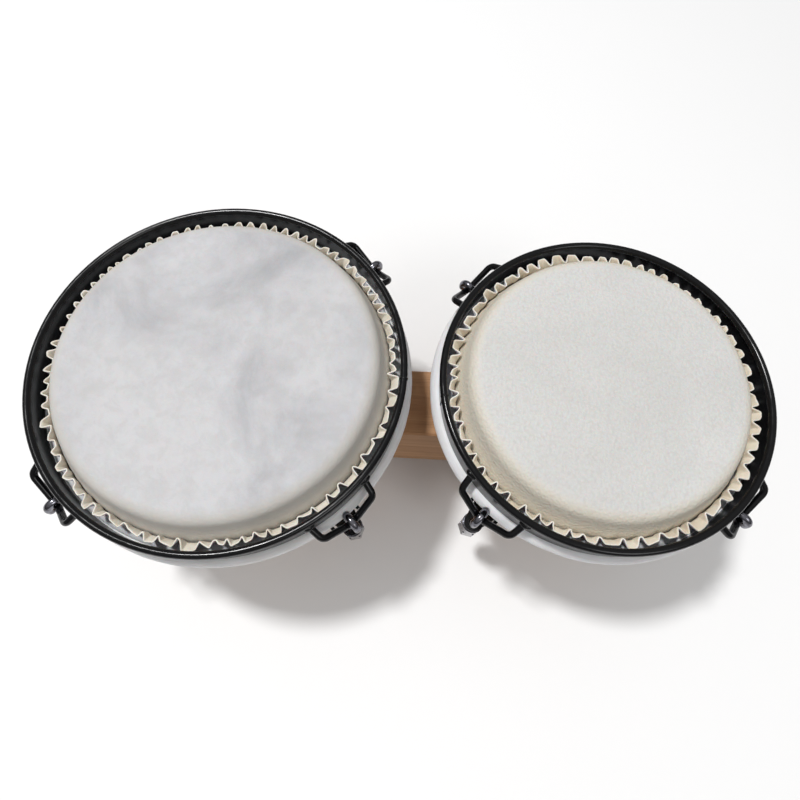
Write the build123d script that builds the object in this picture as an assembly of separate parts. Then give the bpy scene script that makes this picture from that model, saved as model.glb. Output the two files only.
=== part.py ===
"""A pair of bongo drums: a large and a small open-bottomed wooden drum on one centre block.

Millimetres, +Z up.  The origin is on the floor, midway along the pair.  The large drum is on the
-X side and the small drum on the +X side.  Each head is a skin folded round a steel flesh ring,
and a steel crown presses that ring down.  Four hooks hang on the crown's ears and run down
through side brackets to tuning nuts, so turning the nuts draws the crown down.
"""

import os
from dataclasses import dataclass
from math import atan2, cos, degrees, radians, sqrt

from build123d import *

# ---- driving dimensions -------------------------------------------------------------------

LARGE_HEAD_R = 95.25         # nominal head radius, a seven and a half inch head
SMALL_HEAD_R = 82.55         # nominal head radius, a six and a half inch head
CROWN_GAP = 23.7              # between the two crowns' centre circles, along X
DRUM_HEIGHT = 160.5           # floor to playing surface

# wooden shell, a straight-sided cone
SHELL_WALL = 9.0              # horizontal wall thickness
SHELL_TOP_INSET = 1.6         # shell's top radius is this much under the head's
SHELL_FOOT_INSET = 13.4       # shell's foot radius is this much under the head's
BEARING_ROUND = 7.5           # rounding of the bearing edge, outside
BEARING_INNER_ROUND = 0.6     # rounding of the bearing edge, inside
ROUND_REACH = 1.1             # how far a rounding reaches along the tapered wall's top, in radii
FOOT_ROUND = 1.5              # rounding of the foot's edges

# skin head
SKIN_THICKNESS = 1.2
COLLAR_CLEAR = 0.8            # foot of the collar, inside the folded skin
COLLAR_DEPTH = 28.5           # playing surface to foot of the collar

# crown: a flat band with a round wire along its top
CROWN_REACH = 16.05           # crown's centre circle, outside the head's radius
CROWN_DROP = 8.5              # playing surface to the wire's centre
WIRE_R = 2.25
BAND_THICKNESS = 2.2
BAND_DEPTH = 16.2             # wire's centre to the band's lower edge
BAND_SEAT = 1.2               # wire's centre to the band's top corners, where it is welded

# flesh ring and the skin folded round it
FLESH_RING_R = 2.8            # radius of its wire
FOLD_R = 5.2                  # outer radius of the folded skin
FOLD_SEAT = 0.3               # how deep the band presses into the fold
FOLD_CLEAR = 0.03             # fit of the fold on the ring, the band and the hooks
TAIL_INSET = 3.5              # skin's standing tail, inside the crown's centre circle
TAIL_TOP_DROP = 4.5           # wire's centre to the top of the standing tail

# ears: four bent rods welded to each band
EAR_ROD_R = 2.1
EAR_ROOT_DROP = 4.6           # wire's centre to the rod's roots
EAR_ROOT_HALF = 20.0          # half the distance between the two roots
EAR_CORNER_OUT = 8.9          # outer corners, outside the crown's centre circle
EAR_CORNER_DROP = 10.3
EAR_CORNER_HALF = 18.6
EAR_CORNER_ROUND = 5.0
EAR_DIP_DROP = 22.4           # where the two halves of the dip meet before it is rounded
EAR_DIP_ROUND = 6.0
EAR_AZIMUTHS = (-135.0, -45.0, 45.0, 135.0)
LARGE_TURN = -0.6             # how far each drum's metalwork is turned about its axis, degrees
SMALL_TURN = 2.7

# hooks and tuning nuts
HOOK_ROD_R = 2.5
HOOK_SEAT_GAP = 0.05          # between the hook's bend and the ear
HOOK_RING_GAP = 1.05          # flesh ring to the hook's rod, before the ear's dip is rounded
HOOK_TIP_DROP = 1.6           # straight length of the hook's tip below the ear's centre
HOOK_END_LENGTH = 7.0         # rod showing below the nut
NUT_BARREL_R = 6.75
NUT_BARREL_LENGTH = 12.0
NUT_HEX_AF = 12.7
NUT_HEX_LENGTH = 12.0
NUT_CHAMFER = 0.8
THREAD_CLEAR = 0.05           # running fit of the nut on the rod, radial
NUT_WASHER_R = 7.0
NUT_WASHER_THICKNESS = 1.5
WASHER_CLEAR = 0.3            # radial, all washers

# side brackets that the hooks pull on
BRACKET_HEIGHT = 86.0         # floor to the top of the tongue
TONGUE_THICKNESS = 3.5
TONGUE_HOLE_CLEAR = 0.6       # radial, round the hook's rod
TONGUE_NOSE_R = 6.2
BRACKET_HALF_WIDTH = 13.0
FLANGE_THICKNESS = 2.5
FLANGE_LENGTH = 40.0
CHEEK_THICKNESS = 2.5
CHEEK_DEPTH = 26.0
CHEEK_INSET = 1.0             # cheeks' outer faces, inside the bracket's sides
BRACKET_BOLT_DROPS = (15.0, 31.0)   # tongue's top to each bolt

# M5 bolts through bracket and shell
BRACKET_BOLT_R = 2.5
BRACKET_BOLT_HOLE_CLEAR = 0.2
BRACKET_BOLT_HEAD_R = 5.5
BRACKET_BOLT_HEAD_HEIGHT = 2.6
BRACKET_WASHER_R = 5.5
BRACKET_WASHER_THICKNESS = 1.0
BRACKET_WASHER_GAP = 0.25     # flat washer in the curved wall
BRACKET_NUT_AF = 8.0
BRACKET_NUT_HEIGHT = 4.0
BRACKET_BOLT_END = 2.0        # bolt showing past its nut

# centre block and the two bolts through it
BLOCK_DEPTH = 47.0            # along Y
BLOCK_HEIGHT = 68.0
BLOCK_BOTTOM = 34.0           # floor to the block's underside
BLOCK_CHAMFER = 1.2
BLOCK_BOLT_OFFSET = 16.0      # each bolt above or below the block's middle
BLOCK_BOLT_R = 4.0
BLOCK_BOLT_HOLE_CLEAR = 0.25
BLOCK_BOLT_AF = 13.0
BLOCK_BOLT_HEAD_HEIGHT = 5.3
BLOCK_NUT_HEIGHT = 6.5
BLOCK_BOLT_END = 3.0
BLOCK_WASHER_R = 8.5
BLOCK_WASHER_THICKNESS = 1.6
PAD_WIDTH = 30.0              # wedge pads inside the shells, behind the block
PAD_MARGIN = 12.0             # past each bolt, up and down
PAD_THINNEST = 5.0

CONE_MARGIN = 10.0            # how far the cones used for cutting run past the shell's ends

# ---- derived places -----------------------------------------------------------------------

AXIS_SPACING = LARGE_HEAD_R + SMALL_HEAD_R + 2 * CROWN_REACH + CROWN_GAP
SHELL_HEIGHT = DRUM_HEIGHT - SKIN_THICKNESS
SHELL_SLOPE = (SHELL_FOOT_INSET - SHELL_TOP_INSET) / SHELL_HEIGHT
BEARING_LIMIT = (SHELL_WALL - BEARING_INNER_ROUND) / ROUND_REACH
BEARING_OUTER_ROUND = min(BEARING_ROUND, BEARING_LIMIT)
COLLAR_REACH = CROWN_REACH - FOLD_R - COLLAR_CLEAR
WIRE_HEIGHT = DRUM_HEIGHT - CROWN_DROP
BAND_BOTTOM = WIRE_HEIGHT - BAND_DEPTH
FOLD_HEIGHT = BAND_BOTTOM - FOLD_R + FOLD_SEAT
HOOK_BEND_R = EAR_ROD_R + HOOK_SEAT_GAP + HOOK_ROD_R
EAR_DIP_OUT = FLESH_RING_R + HOOK_RING_GAP + HOOK_ROD_R + HOOK_BEND_R
TONGUE_BOTTOM = BRACKET_HEIGHT - TONGUE_THICKNESS
NUT_TOP = TONGUE_BOTTOM - NUT_WASHER_THICKNESS
NUT_BOTTOM = NUT_TOP - NUT_BARREL_LENGTH - NUT_HEX_LENGTH
HOOK_BOTTOM = NUT_BOTTOM - HOOK_END_LENGTH
BLOCK_MIDDLE = BLOCK_BOTTOM + BLOCK_HEIGHT / 2
BLOCK_BOLT_HEIGHTS = (BLOCK_MIDDLE - BLOCK_BOLT_OFFSET, BLOCK_MIDDLE + BLOCK_BOLT_OFFSET)
PAD_BOTTOM = BLOCK_BOLT_HEIGHTS[0] - PAD_MARGIN
PAD_TOP = BLOCK_BOLT_HEIGHTS[1] + PAD_MARGIN
TILT = degrees(atan2(SHELL_SLOPE, 1.0))


def ear_path(crown_r):
    """Centre line of one ear at azimuth 0, from root to root."""
    root_out = sqrt(crown_r**2 - EAR_ROOT_HALF**2)
    corner_out = crown_r + EAR_CORNER_OUT
    root_height = WIRE_HEIGHT - EAR_ROOT_DROP
    corner_height = WIRE_HEIGHT - EAR_CORNER_DROP
    return FilletPolyline(
        (root_out, -EAR_ROOT_HALF, root_height),
        (corner_out, -EAR_CORNER_HALF, corner_height),
        (crown_r + EAR_DIP_OUT, 0, WIRE_HEIGHT - EAR_DIP_DROP),
        (corner_out, EAR_CORNER_HALF, corner_height),
        (root_out, EAR_ROOT_HALF, root_height),
        radius=[EAR_CORNER_ROUND, EAR_DIP_ROUND, EAR_CORNER_ROUND],
    )


@dataclass
class Drum:
    """One drum: its name, head radius, place along X and the turn of its metalwork."""

    name: str
    head_r: float
    turn: float
    axis_x: float = 0.0

    @property
    def crown_r(self):
        """Radius of the crown's centre circle."""
        return self.head_r + CROWN_REACH

    @property
    def dip(self):
        """Lowest point of an ear's centre line at azimuth 0, where its hook hangs."""
        return ear_path(self.crown_r) @ 0.5

    @property
    def rod_r(self):
        """Distance of the hook rods from the drum's axis."""
        return self.dip.X - HOOK_BEND_R

    @property
    def widest_r(self):
        """Radius of the folded skin, the widest turned piece."""
        return self.crown_r + FOLD_R

    def shell_r(self, height):
        """Outer radius of the shell's straight side at a height."""
        return self.head_r - SHELL_FOOT_INSET + SHELL_SLOPE * height

    def azimuths(self):
        """Directions of the four ears, hooks and brackets."""
        return [azimuth + self.turn for azimuth in EAR_AZIMUTHS]


LARGE = Drum("large", LARGE_HEAD_R, LARGE_TURN)
SMALL = Drum("small", SMALL_HEAD_R, SMALL_TURN)
LARGE.axis_x = (LARGE.widest_r - SMALL.widest_r - AXIS_SPACING) / 2
SMALL.axis_x = LARGE.axis_x + AXIS_SPACING


# ---- small helpers ------------------------------------------------------------------------

def turned(face):
    """Solid of revolution about Z from a face drawn with radius along X and height along Y."""
    return revolve(Plane.XZ * face, Axis.Z)


def outline(points, radii=None):
    """Face inside a closed outline of (radius, height) points, with rounded corners if given."""
    if radii:
        return make_face(FilletPolyline(*points, radius=radii, close=True))
    return make_face(Polyline(*points, close=True))


def placed(drum, piece):
    """The piece moved from a drum's own axis to its place in the pair."""
    return Pos(drum.axis_x, 0, 0) * piece


def ringed(drum, piece):
    """Four copies of a piece drawn at azimuth 0, as one group of separate solids."""
    copies = [placed(drum, Rot(0, 0, azimuth) * piece) for azimuth in drum.azimuths()]
    return Compound(children=copies)


def hexagon(across_flats, height):
    """Hexagonal prism standing on z = 0."""
    face = RegularPolygon(radius=across_flats / 2, side_count=6, major_radius=False)
    return extrude(face, height)


def disc(radius, height):
    """Cylinder standing on z = 0."""
    return extrude(Circle(radius), height)


def washer(radius, hole_r, thickness):
    """Flat washer standing on z = 0."""
    return extrude(Circle(radius) - Circle(hole_r), thickness)


def outer_cone(drum):
    """Solid cone with the shell's outer side, a little longer than the shell."""
    low, high = -CONE_MARGIN, SHELL_HEIGHT + CONE_MARGIN
    points = [(0, low), (drum.shell_r(low), low), (drum.shell_r(high), high), (0, high)]
    return turned(outline(points))


def inner_cone(drum):
    """Solid cone with the shell's inner side."""
    low, high = -CONE_MARGIN, SHELL_HEIGHT + CONE_MARGIN
    points = [
        (0, low),
        (drum.shell_r(low) - SHELL_WALL, low),
        (drum.shell_r(high) - SHELL_WALL, high),
        (0, high),
    ]
    return turned(outline(points))


def bracket_bolt_places(drum):
    """Frames of one bracket's bolts at azimuth 0: on the shell's side, Z square out of it."""
    places = []
    for drop in BRACKET_BOLT_DROPS:
        height = BRACKET_HEIGHT - drop
        places.append(Pos(drum.shell_r(height), 0, height) * Rot(0, 90 + TILT, 0))
    return places


def block_side(drum):
    """+1 where the centre block is on the drum's +X side, -1 where it is on its -X side."""
    return 1 if drum is LARGE else -1


def pad_face_r(drum):
    """Distance of the wedge pad's flat face from the drum's axis."""
    return drum.shell_r(PAD_BOTTOM) - SHELL_WALL - PAD_THINNEST


# ---- turned pieces of a drum --------------------------------------------------------------

def shell(drum):
    """Tapered wooden shell with a rounded bearing edge and its bolt holes."""
    foot_r, top_r = drum.shell_r(0), drum.shell_r(SHELL_HEIGHT)
    points = [
        (foot_r, 0),
        (top_r, SHELL_HEIGHT),
        (top_r - SHELL_WALL, SHELL_HEIGHT),
        (foot_r - SHELL_WALL, 0),
    ]
    body = turned(outline(points, [FOOT_ROUND, BEARING_OUTER_ROUND, BEARING_INNER_ROUND, FOOT_ROUND]))
    hole = Pos(0, 0, -2 * SHELL_WALL) * disc(BRACKET_BOLT_R + BRACKET_BOLT_HOLE_CLEAR, 4 * SHELL_WALL)
    for azimuth in drum.azimuths():
        for place in bracket_bolt_places(drum):
            body -= Rot(0, 0, azimuth) * place * hole
    body = placed(drum, body)
    for height in BLOCK_BOLT_HEIGHTS:
        body -= block_bolt_hole(height)
    return body


def head(drum):
    """Skin from the playing surface over the bearing edge to the foot of its collar."""
    top_r = drum.shell_r(SHELL_HEIGHT)
    foot_r = drum.head_r + COLLAR_REACH
    foot_height = DRUM_HEIGHT - COLLAR_DEPTH
    outer = FilletPolyline(
        (0, DRUM_HEIGHT),
        (top_r + SKIN_THICKNESS, DRUM_HEIGHT),
        (foot_r, foot_height),
        radius=BEARING_OUTER_ROUND + SKIN_THICKNESS,
    )
    inner = FilletPolyline(
        (foot_r - SKIN_THICKNESS, foot_height),
        (top_r, SHELL_HEIGHT),
        (0, SHELL_HEIGHT),
        radius=BEARING_OUTER_ROUND,
    )
    foot = Line((foot_r, foot_height), (foot_r - SKIN_THICKNESS, foot_height))
    middle = Line((0, SHELL_HEIGHT), (0, DRUM_HEIGHT))
    return placed(drum, turned(make_face(outer + foot + inner + middle)))


def rim_wire(drum):
    """Round wire along the crown's top."""
    section = Pos(drum.crown_r, WIRE_HEIGHT) * Circle(WIRE_R)
    return placed(drum, turned(section))


def band_section(drum):
    """Flat band's section, with the groove that the wire is welded in."""
    height = BAND_DEPTH - BAND_SEAT
    middle = BAND_BOTTOM + height / 2
    section = Pos(drum.crown_r, middle) * Rectangle(BAND_THICKNESS, height)
    return section - Pos(drum.crown_r, WIRE_HEIGHT) * Circle(WIRE_R)


def rim_band(drum):
    """Flat steel band of the crown."""
    return placed(drum, turned(band_section(drum)))


def flesh_ring(drum):
    """Steel ring that the skin is folded round."""
    section = Pos(drum.crown_r, FOLD_HEIGHT) * Circle(FLESH_RING_R)
    return placed(drum, turned(section))


def skin_fold(drum):
    """Skin folded round the flesh ring, with its trimmed tail standing inside the band."""
    centre = Pos(drum.crown_r, FOLD_HEIGHT)
    tail_bottom = FOLD_HEIGHT + FLESH_RING_R + SKIN_THICKNESS / 2
    tail_top = WIRE_HEIGHT - TAIL_TOP_DROP
    tail_height = tail_top - tail_bottom
    tail_r = drum.crown_r - TAIL_INSET - SKIN_THICKNESS / 2
    section = centre * Circle(FOLD_R)
    section += Pos(tail_r, tail_bottom + tail_height / 2) * Rectangle(SKIN_THICKNESS, tail_height)
    section -= centre * Circle(FLESH_RING_R + FOLD_CLEAR)
    band_gap = 2 * FOLD_CLEAR
    band_height = 2 * FOLD_SEAT + 2 * FOLD_R
    section -= Pos(drum.crown_r, BAND_BOTTOM - FOLD_CLEAR + band_height / 2) * Rectangle(
        BAND_THICKNESS + band_gap, band_height
    )
    body = placed(drum, turned(section))
    rod_bottom = FOLD_HEIGHT - 2 * FOLD_R
    groove = Pos(drum.rod_r, 0, rod_bottom) * disc(HOOK_ROD_R + FOLD_CLEAR, 4 * FOLD_R)
    for azimuth in drum.azimuths():
        body -= placed(drum, Rot(0, 0, azimuth) * groove)
    return body


# ---- crown's ears and the hooks -----------------------------------------------------------

def ears(drum):
    """Bent rods welded to the band, each dipping in the middle where its hook hangs."""
    path = ear_path(drum.crown_r)
    rod = sweep(Plane(origin=path @ 0, z_dir=path % 0) * Circle(EAR_ROD_R), path)
    band_core = Pos(0, 0, BAND_BOTTOM) * disc(drum.crown_r + BAND_THICKNESS / 2, BAND_DEPTH)
    return ringed(drum, rod - band_core)


def hooks(drum):
    """J-shaped rods over the ears, their tips outward and their shanks down to the nuts."""
    dip_r, dip_height = drum.dip.X, drum.dip.Z
    rod_r, tip_r = dip_r - HOOK_BEND_R, dip_r + HOOK_BEND_R
    tip_bottom = dip_height - HOOK_TIP_DROP
    shank = Line((rod_r, 0, HOOK_BOTTOM), (rod_r, 0, dip_height))
    bend = ThreePointArc(
        (rod_r, 0, dip_height),
        (dip_r, 0, dip_height + HOOK_BEND_R),
        (tip_r, 0, dip_height),
    )
    tip = Line((tip_r, 0, dip_height), (tip_r, 0, tip_bottom))
    path = shank + bend + tip
    rod = sweep(Plane(origin=path @ 0, z_dir=path % 0) * Circle(HOOK_ROD_R), path)
    rod += Pos(tip_r, 0, tip_bottom) * Sphere(HOOK_ROD_R)
    return ringed(drum, rod)


def tuning_nut(drum, azimuth):
    """Long tuning nut: a round barrel with a hexagon below it for the wrench."""
    barrel = Pos(0, 0, NUT_TOP - NUT_BARREL_LENGTH) * disc(NUT_BARREL_R, NUT_BARREL_LENGTH)
    barrel = chamfer(barrel.edges().group_by(Axis.Z)[-1], NUT_CHAMFER)
    hex_end = Pos(0, 0, NUT_BOTTOM) * hexagon(NUT_HEX_AF, NUT_HEX_LENGTH)
    hex_end = chamfer(hex_end.edges().group_by(Axis.Z)[0], NUT_CHAMFER)
    bore_r = HOOK_ROD_R + THREAD_CLEAR
    bore = Pos(0, 0, NUT_BOTTOM) * disc(bore_r, NUT_TOP - NUT_BOTTOM)
    nut = barrel + hex_end - bore
    return placed(drum, Rot(0, 0, azimuth) * Pos(drum.rod_r, 0, 0) * nut)


def nut_washers(drum):
    """Washers between the tuning nuts and the brackets."""
    ring = washer(NUT_WASHER_R, HOOK_ROD_R + WASHER_CLEAR, NUT_WASHER_THICKNESS)
    return ringed(drum, Pos(drum.rod_r, 0, NUT_TOP) * ring)


# ---- side brackets and their fixings ------------------------------------------------------

def bracket(drum):
    """One bracket at azimuth 0: tongue with the rod's hole, curved flange and two cheeks."""
    inside_r = drum.shell_r(0) - FLANGE_THICKNESS
    tongue_face = make_face(
        Polyline(
            (inside_r, -BRACKET_HALF_WIDTH),
            (drum.shell_r(BRACKET_HEIGHT) + FLANGE_THICKNESS, -BRACKET_HALF_WIDTH),
            (drum.rod_r, -TONGUE_NOSE_R),
            (drum.rod_r, TONGUE_NOSE_R),
            (drum.shell_r(BRACKET_HEIGHT) + FLANGE_THICKNESS, BRACKET_HALF_WIDTH),
            (inside_r, BRACKET_HALF_WIDTH),
            close=True,
        )
    )
    tongue_face += Pos(drum.rod_r, 0) * Circle(TONGUE_NOSE_R)
    tongue_face -= Pos(drum.rod_r, 0) * Circle(HOOK_ROD_R + TONGUE_HOLE_CLEAR)
    tongue = Pos(0, 0, TONGUE_BOTTOM) * extrude(tongue_face, TONGUE_THICKNESS)

    low = BRACKET_HEIGHT - FLANGE_LENGTH
    flange_points = [
        (inside_r, low),
        (drum.shell_r(low) + FLANGE_THICKNESS, low),
        (drum.shell_r(BRACKET_HEIGHT) + FLANGE_THICKNESS, BRACKET_HEIGHT),
        (inside_r, BRACKET_HEIGHT),
    ]
    strip = Pos(drum.head_r, 0, BRACKET_HEIGHT) * Box(
        drum.head_r, 2 * BRACKET_HALF_WIDTH, 4 * FLANGE_LENGTH
    )
    flange = turned(outline(flange_points)) & strip

    cheek_points = [
        (inside_r, TONGUE_BOTTOM),
        (drum.rod_r - TONGUE_NOSE_R, TONGUE_BOTTOM),
        (drum.shell_r(TONGUE_BOTTOM) + FLANGE_THICKNESS, TONGUE_BOTTOM - CHEEK_DEPTH),
        (inside_r, TONGUE_BOTTOM - CHEEK_DEPTH),
    ]
    cheek = extrude(Plane.XZ * outline(cheek_points), CHEEK_THICKNESS / 2, both=True)
    cheek_y = BRACKET_HALF_WIDTH - CHEEK_THICKNESS / 2 - CHEEK_INSET
    solid = tongue + flange + Pos(0, cheek_y, 0) * cheek + Pos(0, -cheek_y, 0) * cheek
    solid -= outer_cone(drum)
    hole = Pos(0, 0, -SHELL_WALL) * disc(BRACKET_BOLT_R + BRACKET_BOLT_HOLE_CLEAR, 2 * SHELL_WALL)
    for place in bracket_bolt_places(drum):
        solid -= place * hole
    return solid


def brackets(drum):
    """The drum's four side brackets."""
    return ringed(drum, bracket(drum))


def on_bracket_bolts(drum, piece):
    """Copies of a piece on every bracket bolt, drawn with Z along the bolt, outward."""
    copies = []
    for azimuth in drum.azimuths():
        for place in bracket_bolt_places(drum):
            copies.append(placed(drum, Rot(0, 0, azimuth) * place * piece))
    return Compound(children=copies)


def bracket_nut_seat():
    """Distance from the shell's outer side in to the washers' outer face, along a bolt."""
    return SHELL_WALL * cos(radians(TILT)) + BRACKET_WASHER_GAP


def bracket_bolts(drum):
    """Domed bolts through brackets and shell."""
    length = bracket_nut_seat() + BRACKET_WASHER_THICKNESS + BRACKET_NUT_HEIGHT + BRACKET_BOLT_END
    shank = Pos(0, 0, -length) * disc(BRACKET_BOLT_R, length + FLANGE_THICKNESS)
    dome_r = (BRACKET_BOLT_HEAD_R**2 + BRACKET_BOLT_HEAD_HEIGHT**2) / (2 * BRACKET_BOLT_HEAD_HEIGHT)
    dome = Pos(0, 0, BRACKET_BOLT_HEAD_HEIGHT - dome_r) * Sphere(dome_r)
    dome &= disc(2 * BRACKET_BOLT_HEAD_R, 2 * BRACKET_BOLT_HEAD_HEIGHT)
    return on_bracket_bolts(drum, shank + Pos(0, 0, FLANGE_THICKNESS) * dome)


def bracket_washers(drum):
    """Washers inside the shell, under the bracket bolts' nuts."""
    seat = -bracket_nut_seat() - BRACKET_WASHER_THICKNESS
    ring = washer(BRACKET_WASHER_R, BRACKET_BOLT_R + WASHER_CLEAR, BRACKET_WASHER_THICKNESS)
    return on_bracket_bolts(drum, Pos(0, 0, seat) * ring)


def bracket_nuts(drum):
    """Hexagon nuts inside the shell."""
    seat = -bracket_nut_seat() - BRACKET_WASHER_THICKNESS - BRACKET_NUT_HEIGHT
    nut = hexagon(BRACKET_NUT_AF, BRACKET_NUT_HEIGHT)
    nut -= disc(BRACKET_BOLT_R, BRACKET_NUT_HEIGHT)
    return on_bracket_bolts(drum, Pos(0, 0, seat) * nut)


# ---- centre block -------------------------------------------------------------------------

def block_bolt_hole(height):
    """Clearance hole along X for one of the block's bolts."""
    radius = BLOCK_BOLT_R + BLOCK_BOLT_HOLE_CLEAR
    length = AXIS_SPACING
    return Pos(LARGE.axis_x, 0, height) * Rot(0, 90, 0) * disc(radius, length)


def centre_block():
    """Hardwood block between the shells, its ends shaped to them."""
    middle_x = (LARGE.axis_x + SMALL.axis_x) / 2
    blank = Box(AXIS_SPACING, BLOCK_DEPTH, BLOCK_HEIGHT)
    blank = chamfer(blank.edges().filter_by(Axis.X), BLOCK_CHAMFER)
    block = Pos(middle_x, 0, BLOCK_MIDDLE) * blank
    for drum in (LARGE, SMALL):
        block -= placed(drum, outer_cone(drum))
    for height in BLOCK_BOLT_HEIGHTS:
        block -= block_bolt_hole(height)
    return block


def wedge_pad(drum):
    """Wedge inside the shell that gives the block's bolts an upright face."""
    side = block_side(drum)
    height = PAD_TOP - PAD_BOTTOM
    depth = drum.head_r
    centre_x = side * (pad_face_r(drum) + depth / 2)
    pad = Pos(centre_x, 0, PAD_BOTTOM + height / 2) * Box(depth, PAD_WIDTH, height)
    pad = placed(drum, pad & inner_cone(drum))
    for bolt_height in BLOCK_BOLT_HEIGHTS:
        pad -= block_bolt_hole(bolt_height)
    return pad


def along_block(piece, from_x):
    """Copies of a piece on both block bolts, drawn with Z along +X, starting at from_x."""
    copies = [Pos(from_x, 0, height) * Rot(0, 90, 0) * piece for height in BLOCK_BOLT_HEIGHTS]
    return copies


def block_bolts():
    """Two hexagon bolts from inside the large shell to inside the small one."""
    head_x = LARGE.axis_x + pad_face_r(LARGE) - BLOCK_WASHER_THICKNESS
    nut_x = SMALL.axis_x - pad_face_r(SMALL) + BLOCK_WASHER_THICKNESS
    end_x = nut_x + BLOCK_NUT_HEIGHT + BLOCK_BOLT_END
    bolt = disc(BLOCK_BOLT_R, end_x - head_x)
    bolt += Pos(0, 0, -BLOCK_BOLT_HEAD_HEIGHT) * hexagon(BLOCK_BOLT_AF, BLOCK_BOLT_HEAD_HEIGHT)
    return Compound(children=along_block(bolt, head_x))


def block_nuts():
    """Nuts of the block's bolts, inside the small shell."""
    nut_x = SMALL.axis_x - pad_face_r(SMALL) + BLOCK_WASHER_THICKNESS
    nut = hexagon(BLOCK_BOLT_AF, BLOCK_NUT_HEIGHT) - disc(BLOCK_BOLT_R, BLOCK_NUT_HEIGHT)
    return Compound(children=along_block(nut, nut_x))


def block_washers():
    """Washers at both ends of the block's bolts."""
    ring = washer(BLOCK_WASHER_R, BLOCK_BOLT_R + WASHER_CLEAR, BLOCK_WASHER_THICKNESS)
    head_x = LARGE.axis_x + pad_face_r(LARGE) - BLOCK_WASHER_THICKNESS
    nut_x = SMALL.axis_x - pad_face_r(SMALL)
    return Compound(children=along_block(ring, head_x) + along_block(ring, nut_x))


# ---- assembly -----------------------------------------------------------------------------

def drum_nodes(drum):
    """Every piece of one drum, by node name."""
    pieces = {
        "shell": shell(drum),
        "head": head(drum),
        "skin_fold": skin_fold(drum),
        "flesh_ring": flesh_ring(drum),
        "rim_wire": rim_wire(drum),
        "rim_band": rim_band(drum),
        "rim_ears": ears(drum),
        "tuning_hooks": hooks(drum),
        "nut_washers": nut_washers(drum),
        "brackets": brackets(drum),
        "bracket_bolts": bracket_bolts(drum),
        "bracket_washers": bracket_washers(drum),
        "bracket_nuts": bracket_nuts(drum),
        "wedge_pad": wedge_pad(drum),
    }
    for number, azimuth in enumerate(drum.azimuths(), start=1):
        pieces[f"tuning_nut_{number}"] = tuning_nut(drum, azimuth)
    return {f"{drum.name}_{name}": piece for name, piece in pieces.items()}


def all_nodes():
    """Every node of the pair."""
    nodes = drum_nodes(LARGE) | drum_nodes(SMALL)
    nodes["centre_block"] = centre_block()
    nodes["block_bolts"] = block_bolts()
    nodes["block_nuts"] = block_nuts()
    nodes["block_washers"] = block_washers()
    return nodes


if __name__ == "__main__":
    os.makedirs("parts", exist_ok=True)
    for node_name, node_piece in all_nodes().items():
        export_step(node_piece, f"parts/{node_name}.step")
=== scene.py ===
"""Looks of the pair of bongo drums: skins, painted crown, chrome hooks, wood, light and camera.

Metres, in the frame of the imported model.  The head and the folded skin of each drum are
detailed meshes that stand for the plain solids; everything else keeps its own solid and gets
a better material, with welds, threads and seams added to it.
"""

from math import atan2, ceil, cos, hypot, pi, radians, sin, sqrt, tau

import bmesh
import bpy
import numpy as np
from mathutils import Euler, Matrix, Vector, noise


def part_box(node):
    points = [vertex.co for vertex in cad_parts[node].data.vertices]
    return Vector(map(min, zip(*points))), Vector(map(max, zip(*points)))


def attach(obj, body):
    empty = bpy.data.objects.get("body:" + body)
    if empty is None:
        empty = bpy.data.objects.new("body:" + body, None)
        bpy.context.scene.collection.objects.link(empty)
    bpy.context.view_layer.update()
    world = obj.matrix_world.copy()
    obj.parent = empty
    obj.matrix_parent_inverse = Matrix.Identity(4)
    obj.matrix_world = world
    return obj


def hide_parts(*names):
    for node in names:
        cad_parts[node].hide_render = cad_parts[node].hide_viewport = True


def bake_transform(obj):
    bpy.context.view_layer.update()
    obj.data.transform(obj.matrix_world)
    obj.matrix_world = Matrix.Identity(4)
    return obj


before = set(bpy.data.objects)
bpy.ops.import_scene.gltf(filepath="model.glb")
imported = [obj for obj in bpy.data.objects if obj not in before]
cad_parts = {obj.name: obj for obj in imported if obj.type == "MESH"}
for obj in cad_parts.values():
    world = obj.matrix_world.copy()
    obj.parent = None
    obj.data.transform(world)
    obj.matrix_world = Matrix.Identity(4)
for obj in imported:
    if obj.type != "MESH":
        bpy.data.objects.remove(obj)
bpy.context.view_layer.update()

MM = 0.001

# ---- camera, light and floor --------------------------------------------------------------

CAMERA_PLACE = (-0.00165, -0.12572, 0.44816)
CAMERA_TURN = (20.04, -1.16, 2.69)      # degrees about X, Y and Z
CAMERA_LENS = 24.0                      # millimetres
SENSOR_WIDTH = 36.0                     # millimetres

FLOOR_SIZE = 8.0
WORLD_STRENGTH = 0.50                   # overhead
HORIZON_SHARE = 0.15                    # of that strength, at the horizon and below it
HORIZON_Z, OVERHEAD_Z = 0.05, 0.80      # heights of the directions between which it changes
LIGHTS_AIM = (0, 0, 0.1)
KEY_PLACE, KEY_SIZE, KEY_POWER = (-0.95, 0.55, 2.9), 0.35, 66.0
FILL_PLACE, FILL_SIZE, FILL_POWER = (1.2, -1.4, 2.2), 1.2, 14.0

# ---- sizes of the skins and places of the ears --------------------------------------------

SKIN_THICKNESS = 1.2 * MM
BEARING_ROUND = 8.7 * MM                # skin's outer rounding over the bearing edge
COLLAR_FLARE = 10.45 * MM               # collar's foot, outside the corner that is rounded
FRILL_THICKNESS = 0.75 * MM
EAR_AZIMUTHS = (-135.0, -45.0, 45.0, 135.0)     # degrees, before the drum's own turn
HOOK_DENT_R = 2.56 * MM                 # the fold stays this far from a hook's centre line


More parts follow.
